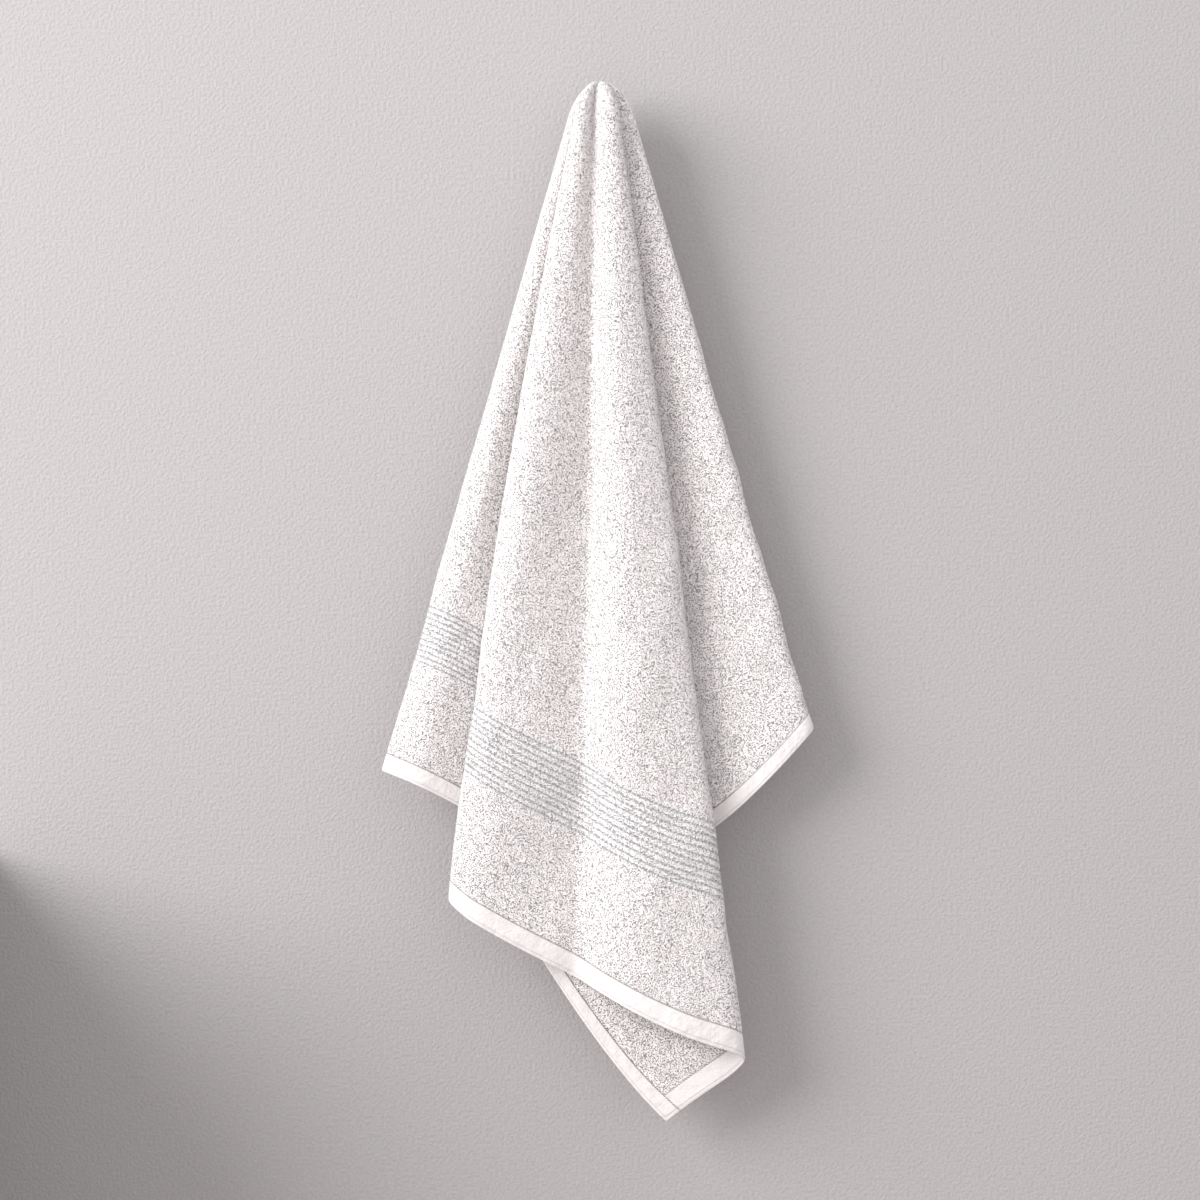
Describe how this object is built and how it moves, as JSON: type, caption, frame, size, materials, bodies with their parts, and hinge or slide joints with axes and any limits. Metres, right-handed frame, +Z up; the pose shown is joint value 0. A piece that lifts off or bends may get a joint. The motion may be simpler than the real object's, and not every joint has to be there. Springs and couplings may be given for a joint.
{
  "type": "bath sheet on a wall hook",
  "caption": "Terry bath sheet gathered over a ball-ended wall hook, hanging in layered folds to a low free corner.",
  "frame": {"origin": "centre of the hook plate's back, on the wall plane", "axes": "+Z up, -Y out of the wall towards the viewer, +X to the right seen from the front"},
  "size_m": [0.5201, 0.12, 1.2544],
  "materials": {
    "fabric": "matte",
    "brushed_steel": "satin"
  },
  "bodies": {
    "root": {"towel": "fabric", "hook_plate": "brushed_steel", "hook_arm": "brushed_steel"}
  },
  "joints": []
}
